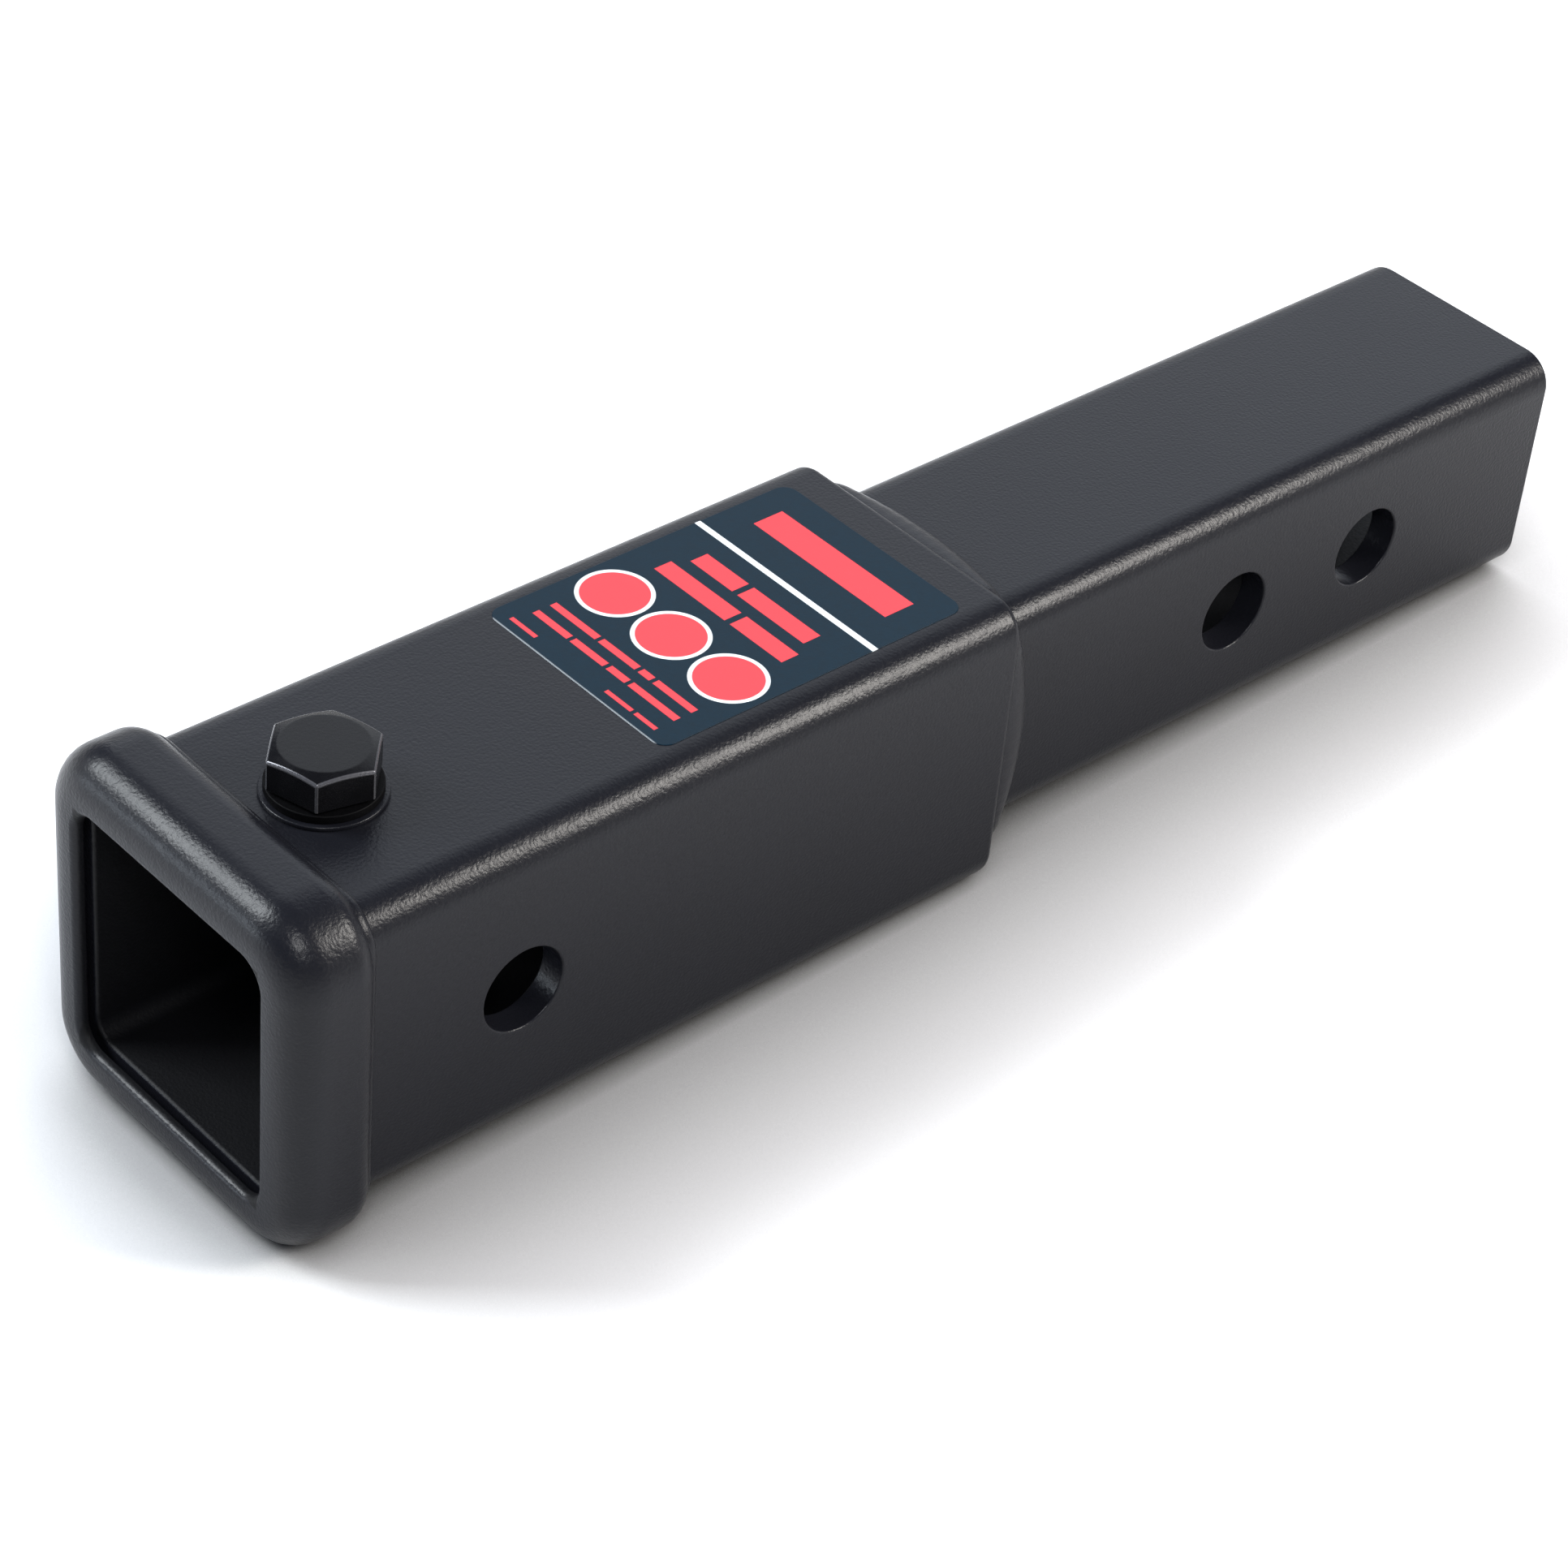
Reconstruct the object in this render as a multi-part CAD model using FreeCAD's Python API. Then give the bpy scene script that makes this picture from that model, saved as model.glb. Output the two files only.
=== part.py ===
import FreeCAD, Part

import math
import os

# Hitch receiver extender: a square receiver tube with a cast collar round its mouth, a smaller square
# shank tube welded into its rear end, and an anti-rattle bolt in its top wall. All lengths are in
# millimetres. The origin is on the tube axis at the receiver's pin hole, +X runs from the mouth to
# the shank, +Y is along the pin holes and +Z is up, where the bolt is.

# Receiver tube, whose bore takes a shank of the size below
tube_slip = 0.6
tube_wall = 5.75
tube_corner = 7.15
tube_bore_corner = 3.5
pin_to_tube_end = 115.2
tube_end_rounding = 1.8

# Collar round the mouth, with a lip in front of the tube
pin_to_mouth = 52.0
collar_wall = 5.15
collar_slip = 0.1
collar_corner = 14.2
collar_depth = 17.8
collar_front_rounding = 7.1
collar_back_rounding = 4.6
lip_depth = 2.0
lip_relief = 0.2
lip_corner = 5.0
lip_chamfer = 1.2
lip_to_tube = 1.75

# Shank tube
shank_side = 50.8
shank_wall = 6.35
shank_corner = 6.8
shank_bore_corner = 2.0
shank_overlap = 49.0
pin_to_shank_end = 272.5
shank_end_chamfer = 0.8

# Pin holes, for a pin of 15.9
pin_hole_diameter = 17.1
pin_hole_chamfer = 0.4
pin_to_near_shank_hole = 182.9
shank_hole_pitch = 38.4

# Weld beads
collar_bead_height = 1.9
collar_bead_leg = 1.5
shank_bead_height = 5.8
shank_bead_end_height = 4.6
shank_bead_level_leg = 6.9
shank_bead_side_leg = 8.2
shank_bead_end_leg = 3.4
bead_flat_steps = 3
bead_corner_steps = 2
bead_face_steps = 5

# Anti-rattle bolt and its washers
mouth_to_bolt = 32.7
bolt_diameter = 12.0
bolt_length = 10.0
thread_clearance = 0.07
bolt_tip_chamfer = 1.0
hex_across_flats = 18.4
hex_turn = -13.8
head_height = 7.5
head_flat_diameter = 15.8
head_crown_angle = 18.0
washer_face_diameter = 16.6
washer_face_height = 0.6
flat_washer_diameter = 22.4
flat_washer_thickness = 0.9
flat_washer_play = 0.6
lock_washer_diameter = 20.6
lock_washer_thickness = 1.65
lock_washer_play = 0.3
lock_washer_split = 1.6
lock_washer_split_turn = 60.0
lock_washer_split_lean = 25.0

# Label on the top of the receiver tube
label_length = 72.0
label_to_corner = 0.1
label_corner = 3.0
label_thickness = 0.15
tube_end_to_label = 8.8

# The most of a wall that a rounding or a chamfer may take
edge_share = 0.9
end_share = 0.4
front_share = 0.7
lip_share = 0.15

# Places and sizes that follow from the values above
shank_half = shank_side / 2
shank_bore_half = shank_half - shank_wall
tube_bore_half = shank_half + tube_slip
tube_half = tube_bore_half + tube_wall
socket_half = tube_half + collar_slip
collar_half = socket_half + collar_wall
label_half_width = tube_half - tube_corner - label_to_corner
mouth_x = -pin_to_mouth
socket_x = mouth_x + lip_depth
tube_front_x = socket_x + lip_to_tube
collar_back_x = mouth_x + collar_depth
lip_half = tube_bore_half + lip_relief
lip_width = collar_half - lip_half
shank_front_x = pin_to_tube_end - shank_overlap
pin_radius = pin_hole_diameter / 2
shank_hole_xs = (pin_to_near_shank_hole, pin_to_near_shank_hole + shank_hole_pitch)
bolt_x = mouth_x + mouth_to_bolt
bolt_radius = bolt_diameter / 2
thread_radius = bolt_radius - thread_clearance
flat_washer_top = tube_half + flat_washer_thickness
bearing_z = flat_washer_top + lock_washer_thickness

X_AXIS = FreeCAD.Vector(1, 0, 0)
Y_AXIS = FreeCAD.Vector(0, 1, 0)
Z_AXIS = FreeCAD.Vector(0, 0, 1)
NEAR = 1e-4


def point(x, y, z):
    return FreeCAD.Vector(x, y, z)


def square_wire(x, half, corner):
    """A square outline with rounded corners, in the plane X = x and centred on the tube axis."""
    flat = half - corner
    diagonal = flat + corner * math.sqrt(0.5)
    edges = []
    for side in range(4):
        turn = FreeCAD.Rotation(X_AXIS, 90 * side)
        first = turn.multVec(point(x, half, -flat))
        last = turn.multVec(point(x, half, flat))
        middle = turn.multVec(point(x, diagonal, diagonal))
        after = turn.multVec(point(x, flat, half))
        edges.append(Part.makeLine(first, last))
        edges.append(Part.Arc(last, middle, after).toShape())
    return Part.Wire(edges)


def square_bar(first_x, last_x, half, corner):
    """A solid square bar with rounded long edges, between two planes across the tube axis."""
    face = Part.Face(square_wire(first_x, half, corner))
    return face.extrude(point(last_x - first_x, 0, 0))


def end_face(shape, x):
    """The flat face of the shape that lies in the plane X = x."""
    for face in shape.Faces:
        box = face.BoundBox
        if box.XLength < NEAR and abs(box.XMin - x) < NEAR:
            return face
    raise ValueError("no flat face at X = %.3f" % x)


def outer_rim(shape, x):
    """The edges round the outside of the end face at X = x."""
    return end_face(shape, x).OuterWire.Edges


def inner_rim(shape, x):
    """The edges round the opening in the end face at X = x."""
    face = end_face(shape, x)
    edges = []
    for wire in face.Wires:
        if not wire.isSame(face.OuterWire):
            edges.extend(wire.Edges)
    return edges


def pin_hole_rims(shape, half):
    """The circles where the pin holes come out of the side walls."""
    edges = []
    for edge in shape.Edges:
        curve = edge.Curve
        if isinstance(curve, Part.Circle) and abs(curve.Radius - pin_radius) < NEAR:
            if abs(abs(curve.Center.y) - half) < NEAR:
                edges.append(edge)
    return edges


def drill_across(shape, x, half):
    """A pin hole through both side walls at X = x."""
    drill = Part.makeCylinder(pin_radius, 4 * half, point(x, -2 * half, 0), Y_AXIS)
    return shape.cut(drill)


def make_receiver_tube():
    """Square tube, open at both ends, with the pin hole and the tapped hole in its top wall."""
    rounding = min(tube_end_rounding, end_share * tube_wall)
    tube = square_bar(tube_front_x, pin_to_tube_end, tube_half, tube_corner)
    tube = tube.makeFillet(rounding, outer_rim(tube, pin_to_tube_end))
    tube = tube.cut(square_bar(tube_front_x, pin_to_tube_end, tube_bore_half, tube_bore_corner))
    tube = drill_across(tube, 0, tube_half)
    tube = tube.makeChamfer(pin_hole_chamfer, pin_hole_rims(tube, tube_half))
    tap = Part.makeCylinder(bolt_radius, 2 * tube_half, point(bolt_x, 0, 0), Z_AXIS)
    return tube.cut(tap)


def make_mouth_collar():
    """Collar that slips over the tube's front end, rounded outside, with a lip in front of it."""
    front_rounding = min(collar_front_rounding, front_share * lip_width)
    back_rounding = min(collar_back_rounding, edge_share * collar_wall)
    edge = min(lip_chamfer, edge_share * lip_depth, lip_share * lip_width)
    collar = square_bar(mouth_x, collar_back_x, collar_half, collar_corner)
    collar = collar.makeFillet(front_rounding, outer_rim(collar, mouth_x))
    collar = collar.makeFillet(back_rounding, outer_rim(collar, collar_back_x))
    collar = collar.cut(square_bar(mouth_x, collar_back_x, lip_half, lip_corner))
    collar = collar.makeChamfer(edge, inner_rim(collar, mouth_x))
    return collar.cut(square_bar(socket_x, collar_back_x, socket_half, tube_corner + collar_slip))


def make_collar_weld():
    """Small bead in the corner between the back of the collar and the receiver tube."""
    toe_x = collar_back_x + collar_bead_leg
    slope = edge_share * min(collar_bead_height, collar_bead_leg)
    bead = square_bar(collar_back_x, toe_x, tube_half + collar_bead_height, tube_corner + collar_bead_height)
    bead = bead.makeChamfer(slope, outer_rim(bead, toe_x))
    return bead.cut(square_bar(collar_back_x, toe_x, tube_half, tube_corner))


def make_shank_tube():
    """Square tube whose front end sits inside the receiver tube, with two pin holes."""
    chamfer = min(shank_end_chamfer, end_share * shank_wall)
    shank = square_bar(shank_front_x, pin_to_shank_end, shank_half, shank_corner)
    shank = shank.makeChamfer(chamfer, outer_rim(shank, pin_to_shank_end))
    shank = shank.cut(square_bar(shank_front_x, pin_to_shank_end, shank_bore_half, shank_bore_corner))
    for x in shank_hole_xs:
        shank = drill_across(shank, x, shank_half)
    return shank.makeChamfer(pin_hole_chamfer, pin_hole_rims(shank, shank_half))


def bead_stations():
    """Stations along one pass, from corner to corner, as its distance from the middle and its turn.

    The pass follows the shank's surface: straight along the flat, then round half of each corner.
    """
    flat = shank_half - shank_corner
    stations = []
    for step in range(bead_flat_steps + 1):
        stations.append((flat * step / bead_flat_steps, 0.0))
    for step in range(1, bead_corner_steps + 1):
        stations.append((flat, 45.0 * step / bead_corner_steps))
    mirrored = [(-along, -turn) for along, turn in stations[:0:-1]]
    return mirrored + stations


def bead_section(along, turn, share, leg):
    """Corner points of a section across a pass: it stands on the shank's surface, and its face is convex.

    share is 1 at the corners and 0 in the middle of the pass, and the section shrinks with it.
    """
    drop = share * share
    reach = leg + (shank_bead_end_leg - leg) * drop
    rise = shank_bead_height + (shank_bead_end_height - shank_bead_height) * drop
    foot = point(pin_to_tube_end, along, shank_half - shank_corner)
    outward = point(0, math.sin(math.radians(turn)), math.cos(math.radians(turn)))
    outline = [foot + outward * shank_corner]
    for step in range(bead_face_steps + 1):
        angle = math.radians(90.0 * step / bead_face_steps)
        height = shank_corner + rise * math.sin(angle)
        outline.append(foot + outward * height + X_AXIS * (reach * math.cos(angle)))
    outline.append(outline[0])
    return outline


def skinned(sections):
    """A solid through sections with as many corners each, its skin laid in flat triangles."""
    faces = [Part.Face(Part.makePolygon(sections[0])), Part.Face(Part.makePolygon(sections[-1]))]
    for before, after in zip(sections, sections[1:]):
        for corner in range(len(before) - 1):
            low, high = before[corner], after[corner + 1]
            faces.append(Part.Face(Part.makePolygon([low, before[corner + 1], high, low])))
            faces.append(Part.Face(Part.makePolygon([low, high, after[corner], low])))
    return Part.Solid(Part.Shell(faces))


def make_shank_weld(leg, side_turn):
    """One weld pass between the tube's rear end and one side of the shank, thickest in its middle."""
    flat = shank_half - shank_corner
    half_length = flat + shank_corner * math.radians(45)
    sections = []
    for along, turn in bead_stations():
        travelled = abs(along) + shank_corner * math.radians(abs(turn))
        sections.append(bead_section(along, turn, travelled / half_length, leg))
    bead = skinned(sections).cut(square_bar(pin_to_tube_end, pin_to_shank_end, shank_half, shank_corner))
    bead.rotate(point(0, 0, 0), X_AXIS, side_turn)
    return bead


def washer(inner_radius, outer_radius, base_z, thickness):
    """A flat ring on the bolt's axis."""
    base = point(bolt_x, 0, base_z)
    ring = Part.makeCylinder(outer_radius, thickness, base, Z_AXIS)
    return ring.cut(Part.makeCylinder(inner_radius, thickness, base, Z_AXIS))


def make_flat_washer():
    """Thin washer on the top of the tube, loose round the bolt."""
    radius = flat_washer_diameter / 2
    return washer(bolt_radius + flat_washer_play, radius, tube_half, flat_washer_thickness)


def make_lock_washer():
    """Spring washer, pressed flat under the bolt's head, with its slanted split."""
    radius = lock_washer_diameter / 2
    ring = washer(bolt_radius + lock_washer_play, radius, flat_washer_top, lock_washer_thickness)
    height = 4 * lock_washer_thickness
    split = Part.makeBox(radius, lock_washer_split, height, point(0, -lock_washer_split / 2, -height / 2))
    split.rotate(point(0, 0, 0), X_AXIS, lock_washer_split_lean)
    split.rotate(point(0, 0, 0), Z_AXIS, lock_washer_split_turn)
    split.translate(point(bolt_x, 0, flat_washer_top + lock_washer_thickness / 2))
    return ring.cut(split)


def make_bolt():
    """Hexagon bolt with a crowned head, a washer face under it and a chamfered tip."""
    head_top = bearing_z + head_height
    hex_base = bearing_z + washer_face_height
    tip_z = bearing_z - bolt_length
    corner_radius = hex_across_flats / math.sqrt(3)
    corners = []
    for side in range(7):
        angle = math.radians(hex_turn + 60 * side)
        x = bolt_x + corner_radius * math.cos(angle)
        y = corner_radius * math.sin(angle)
        corners.append(point(x, y, hex_base))
    hexagon = Part.Face(Part.makePolygon(corners)).extrude(point(0, 0, head_top - hex_base))
    flat_radius = head_flat_diameter / 2
    crown_drop = (corner_radius - flat_radius) * math.tan(math.radians(head_crown_angle))
    crown = [
        point(bolt_x, 0, hex_base),
        point(bolt_x + corner_radius, 0, hex_base),
        point(bolt_x + corner_radius, 0, head_top - crown_drop),
        point(bolt_x + flat_radius, 0, head_top),
        point(bolt_x, 0, head_top),
        point(bolt_x, 0, hex_base),
    ]
    crown_solid = Part.Face(Part.makePolygon(crown)).revolve(point(bolt_x, 0, 0), Z_AXIS, 360)
    head = hexagon.common(crown_solid)
    chamfer = min(bolt_tip_chamfer, end_share * bolt_length)
    stem = [
        point(bolt_x, 0, tip_z),
        point(bolt_x + thread_radius - chamfer, 0, tip_z),
        point(bolt_x + thread_radius, 0, tip_z + chamfer),
        point(bolt_x + thread_radius, 0, bearing_z),
        point(bolt_x + washer_face_diameter / 2, 0, bearing_z),
        point(bolt_x + washer_face_diameter / 2, 0, hex_base),
        point(bolt_x, 0, hex_base),
        point(bolt_x, 0, tip_z),
    ]
    stem_solid = Part.Face(Part.makePolygon(stem)).revolve(point(bolt_x, 0, 0), Z_AXIS, 360)
    return head.fuse(stem_solid).removeSplitter()


def make_label():
    """Thin label with rounded corners, on the top of the receiver tube near its rear end."""
    last_x = pin_to_tube_end - tube_end_to_label
    corner = point(last_x - label_length, -label_half_width, tube_half)
    label = Part.makeBox(label_length, 2 * label_half_width, label_thickness, corner)
    upright = [edge for edge in label.Edges if edge.BoundBox.ZLength > 0.9 * label_thickness]
    return label.makeFillet(label_corner, upright)


def check_solid(name, shape):
    """One valid closed solid, or an error that names the piece."""
    if not shape.isValid() or len(shape.Solids) != 1 or shape.Volume <= 0:
        raise ValueError("%s is not one valid solid" % name)
    return shape.Solids[0]


def main():
    pieces = {
        "receiver_tube": make_receiver_tube(),
        "mouth_collar": make_mouth_collar(),
        "collar_weld": make_collar_weld(),
        "shank_tube": make_shank_tube(),
        "shank_weld_top": make_shank_weld(shank_bead_level_leg, 0),
        "shank_weld_left": make_shank_weld(shank_bead_side_leg, 90),
        "shank_weld_bottom": make_shank_weld(shank_bead_level_leg, 180),
        "shank_weld_right": make_shank_weld(shank_bead_side_leg, 270),
        "flat_washer": make_flat_washer(),
        "lock_washer": make_lock_washer(),
        "anti_rattle_bolt": make_bolt(),
        "label": make_label(),
    }
    os.makedirs("parts", exist_ok=True)
    for name, shape in pieces.items():
        solid = check_solid(name, shape)
        solid.exportStep("parts/" + name + ".step")
        print("%-18s %10.1f mm3 %3d faces" % (name, solid.Volume, len(solid.Faces)))


main()
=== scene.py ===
import math

import bmesh
import bpy
import numpy as np
from bpy.props import FloatProperty, FloatVectorProperty, PointerProperty
from mathutils import Matrix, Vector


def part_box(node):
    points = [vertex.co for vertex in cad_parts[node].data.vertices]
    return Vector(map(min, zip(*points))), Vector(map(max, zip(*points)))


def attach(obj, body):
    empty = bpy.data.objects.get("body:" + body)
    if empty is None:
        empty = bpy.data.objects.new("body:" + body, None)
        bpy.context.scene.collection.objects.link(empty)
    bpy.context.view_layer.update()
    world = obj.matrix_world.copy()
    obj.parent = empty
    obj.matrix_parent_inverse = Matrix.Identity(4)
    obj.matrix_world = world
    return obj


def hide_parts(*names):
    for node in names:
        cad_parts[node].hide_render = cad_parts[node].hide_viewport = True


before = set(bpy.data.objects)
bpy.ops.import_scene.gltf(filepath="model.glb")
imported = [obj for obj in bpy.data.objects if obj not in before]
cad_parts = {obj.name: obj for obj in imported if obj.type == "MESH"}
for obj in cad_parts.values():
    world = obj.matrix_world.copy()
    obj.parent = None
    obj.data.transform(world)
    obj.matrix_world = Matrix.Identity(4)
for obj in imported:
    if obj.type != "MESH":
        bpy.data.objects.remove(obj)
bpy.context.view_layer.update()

# The looks of a welded hitch receiver extender: coated square tubes, a collar round the mouth, weld
# beads, an anti-rattle bolt with its washers, and a printed label. Lengths are in metres and the
# places come from the frame: X runs from the mouth to the shank, Y across, Z up.

bl_info = {
    "name": "Hitch receiver extender",
    "version": (1, 0, 0),
    "blender": (4, 5, 0),
    "location": "View3D > Sidebar > Extender",
    "description": "Makes the coated tubes, collar, weld beads, bolt and label of a hitch receiver extender",
    "category": "Object",
}

MM = 0.001
QUARTER = math.pi / 2
TURN = 2 * math.pi

# How finely the tubes are divided: the blocks round holes, the middle of plain sides, the corners,
# the rounded edges and the fan between a hole and its block
BLOCK_STEPS = 20
PLAIN_STEPS = 4
CORNER_STEPS = 14
ARC_STEPS = 7
FAN_STEPS = 4

# How finely the other pieces are divided: turned rings, half a weld bead, a flat of the hexagon, the
# slope of the crown and one turn of the thread
ROUND_STEPS = 128
WELD_STEPS = 40
HEXAGON_STEPS = 8
CROWN_STEPS = 5
THREAD_STEPS = 16

# Half widths of the evenly divided blocks round the holes, and where a side has no hole
PIN_BLOCK = 10.0 * MM
TAP_BLOCK = 8.5 * MM
PLAIN_BLOCKS = (PIN_BLOCK,) * 4

# A side's points before its block, and the digits after which two places in metres are the same
LEAD_POINTS = 2
PLACE_DIGITS = 9

# The sides of a square bar, in quarter turns about X from +Y
PLUS_Y, TOP, MINUS_Y = range(3)

# Points closer than this are one point, and edges sharper than this stay crisp
MERGE = 0.001 * MM
SHARP = math.radians(35)


def length(name, description, size):
    """A length that a user may change, whose default is given in millimetres."""
    return FloatProperty(name=name, description=description, default=size * MM, unit="LENGTH")


def slant(name, description, degrees):
    """An angle that a user may change, whose default is given in degrees."""
    return FloatProperty(name=name, description=description, default=math.radians(degrees), subtype="ANGLE")


def tint(name, description, value):
    """A colour that a user may change."""
    return FloatVectorProperty(name=name, description=description, default=value, size=3, subtype="COLOR")


class TubeSettings(bpy.types.PropertyGroup):
    corner: length("Tube corner", "Outer corner radius of the receiver tube", 7.15)
    wall: length("Tube wall", "Wall thickness of the receiver tube", 5.75)
    bore_corner: length("Tube bore corner", "Corner radius inside the receiver tube", 3.5)
    end_rounding: length("Tube end rounding", "Rounding of the receiver tube's rear end", 1.8)
    shank_corner: length("Shank corner", "Outer corner radius of the shank", 6.8)
    shank_wall: length("Shank wall", "Wall thickness of the shank", 6.35)
    shank_bore_corner: length("Shank bore corner", "Corner radius inside the shank", 2.0)
    shank_end_rounding: length("Shank end rounding", "Rounding of the shank's ends", 1.0)
    bore_rounding: length("Bore rounding", "Rounding of the edges where a bore ends", 0.8)
    pin_hole: length("Pin hole", "Diameter of the holes across the tubes", 17.1)
    hole_rim: length("Hole rim", "Rounding of the coat round each hole", 0.45)
    near_hole: length("Near shank hole", "Place of the shank's first pin hole along the axis", 182.9)
    hole_pitch: length("Shank hole pitch", "Distance between the shank's two pin holes", 38.4)
    tapped_hole: length("Tapped hole", "Diameter of the bolt's hole in the top wall", 12.0)


class CollarSettings(bpy.types.PropertyGroup):
    corner: length("Collar corner", "Outer corner radius of the collar", 14.2)
    front_rounding: length("Front rounding", "Rounding of the collar's outer front edge", 7.7)
    back_rounding: length("Back rounding", "Rounding of the collar's outer back edge", 4.8)
    slip: length("Slip", "Gap between the collar and the tube inside it", 0.1)
    lip_depth: length("Lip depth", "Depth of the lip in front of the tube", 2.0)
    lip_half: length("Lip half width", "Half the opening in the lip", 26.2)
    lip_corner: length("Lip corner", "Corner radius of the opening in the lip", 5.0)
    lip_rounding: length("Lip rounding", "Rounding of the lip's front edge", 1.5)


class WeldSettings(bpy.types.PropertyGroup):
    height: length("Bead height", "Height of a rear bead in its middle", 5.8)
    end_height: length("Bead end height", "Height of a rear bead at the tube's corners", 4.6)
    end_leg: length("Bead end leg", "Length of a rear bead along the shank at the corners", 3.4)
    tuck: length("Bead tuck", "How far the front bead runs in under the collar's rounded edge", 0.6)
    ripple_pitch: length("Ripple pitch", "Distance between the ripples of a bead", 3.4)
    ripple: FloatProperty(
        name="Ripple", description="Height of the ripples, as a share of the bead",
        default=0.004, subtype="FACTOR")


class BoltSettings(bpy.types.PropertyGroup):
    across_flats: length("Across flats", "Width of the hexagon head across its flats", 18.4)
    head_turn: slant("Head turn", "Turn of the hexagon's first flat about the bolt's axis", 16.2)
    edge_rounding: length("Head edges", "Rounding of the head's upright edges", 0.6)
    crown_rounding: length("Crown rounding", "Rounding where the crown meets the flats", 0.4)
    flat_diameter: length("Head flat", "Diameter of the flat circle on the head", 15.8)
    crown_angle: slant("Crown angle", "Slope of the crown outside the flat circle", 18.0)
    washer_face: length("Washer face", "Diameter of the round face under the head", 16.6)
    washer_face_height: length("Washer face height", "Height of the round face under the head", 0.6)
    thread: length("Thread", "Diameter over the crests of the thread", 11.86)
    pitch: length("Pitch", "Rise of the thread in one turn", 1.75)
    thread_depth: length("Thread depth", "Depth of the thread from crest to root", 0.95)
    tip_chamfer: length("Tip chamfer", "Chamfer of the bolt's tip", 1.0)


class WasherSettings(bpy.types.PropertyGroup):
    split: length("Split", "Width of the gap in the lock washer", 1.6)
    split_turn: slant("Split turn", "Place of the lock washer's gap, round the bolt's axis", 60.0)
    split_lean: slant("Split lean", "Slant of the lock washer's gap", 25.0)
    lock_bore: length("Lock washer bore", "Inner diameter of the lock washer", 12.6)
    lock_edge: length("Lock washer edge", "Rounding of the lock washer's edges", 0.25)
    flat_bore: length("Flat washer bore", "Inner diameter of the flat washer", 13.2)
    flat_edge: length("Flat washer edge", "Rounding of the flat washer's edges", 0.3)


class CoatSettings(bpy.types.PropertyGroup):
    colour: tint("Coat", "Colour of the powder coat", (0.0056, 0.0059, 0.0081))
    roughness: FloatProperty(
        name="Coat roughness", description="How satin the powder coat is",
        default=0.32, min=0.0, max=1.0, subtype="FACTOR")
    grain: length("Coat grain", "Width of the coat's fine grain", 0.62)
    grain_height: length("Grain height", "Height of the coat's grain", 0.08)
    steel: tint("Bolt steel", "Colour of the blackened bolt", (0.003, 0.003, 0.0035))
    # The colour of the highlight painted on the bolt's edges
    edge_highlight: tint("Painted steel highlight", "Colour of the highlight painted on the bolt's edges", (0.085, 0.085, 0.092))


class LabelSettings(bpy.types.PropertyGroup):
    ground: tint("Label ground", "Dark ground of the label", (0.0015, 0.0105, 0.0195))
    red: tint("Label red", "Red of the printed shapes", (0.76, 0.045, 0.055))
    pale: tint("Label white", "White of the stripe and the rims", (0.62, 0.66, 0.68))
    corner: length("Label corner", "Corner radius of the label", 3.0)


class StageSettings(bpy.types.PropertyGroup):
    lens: FloatProperty(name="Lens", description="Focal length in millimetres", default=97.36)
    azimuth: slant("View azimuth", "Heading of the camera, from the X axis towards the Y axis", 44.974)
    fall: slant("View fall", "How far the camera looks down", 37.711)
    roll: slant("View roll", "Roll of the camera about its line of sight", 5.796)
    place: FloatVectorProperty(
        name="Camera place", description="Where the camera stands",
        default=(-0.3595, -0.4483, 0.4741), subtype="TRANSLATION", size=3)
    floor: tint("Floor", "Colour of the floor", (0.79, 0.79, 0.79))
    lit_floor: length("Lit floor", "Radius of the floor that shows the lamps' light and shadows", 450.0)
    contact_reach: length("Contact shade", "How far the shade round the object's foot reaches", 70.0)


class ExtenderSettings(bpy.types.PropertyGroup):
    tube: PointerProperty(type=TubeSettings)
    collar: PointerProperty(type=CollarSettings)
    weld: PointerProperty(type=WeldSettings)
    bolt: PointerProperty(type=BoltSettings)
    washer: PointerProperty(type=WasherSettings)
    coat: PointerProperty(type=CoatSettings)
    label: PointerProperty(type=LabelSettings)
    stage: PointerProperty(type=StageSettings)


def node_box(name):
    """Lowest and highest corner of a node of the frame, as arrays."""
    low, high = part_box(name)
    return np.array(low), np.array(high)


def half_height(name):
    """Half the height of a bar that is centred on the X axis."""
    return node_box(name)[1][2]


def bolt_axis():
    """X and Y of the bolt's axis."""
    low, high = node_box("anti_rattle_bolt")
    return (low[:2] + high[:2]) / 2


def points_of(x, y, z):
    """Points from their coordinates, which are stretched to one grid."""
    return np.stack(np.broadcast_arrays(x, y, z), axis=-1)


def turned(across, along, angle):
    """Two coordinates turned by an angle: across cos - along sin, across sin + along cos."""
    cosine, sine = math.cos(angle), math.sin(angle)
    return across * cosine - along * sine, across * sine + along * cosine


def grid_surface(points, wrap_rows=False, lids=False, skipped=None):
    """A grid of points whose rows are closed rings, and the quads between neighbours.

    wrap_rows joins the last ring to the first, lids closes both with a flat face, and quads that
    are marked in skipped are left out.
    """
    rows, columns = points.shape[:2]
    index = np.arange(rows * columns).reshape(rows, columns)
    below = np.roll(index, -1, axis=0)
    corners = np.stack([index, below, np.roll(below, -1, axis=1), np.roll(index, -1, axis=1)], axis=-1)
    kept = np.ones((rows, columns), bool)
    kept[-1] = wrap_rows
    if skipped is not None:
        kept &= ~skipped
    faces = corners[kept].tolist()
    if lids:
        faces += index[[0, -1]].tolist()
    return points, faces


def arc(x, out, radius, first, last):
    """Profile points on part of a circle about (x, out), between two angles in quarter turns."""
    angle = QUARTER * np.linspace(first, last, ARC_STEPS + 1)
    return np.stack([x + radius * np.cos(angle), out + radius * np.sin(angle)], axis=-1)


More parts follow.
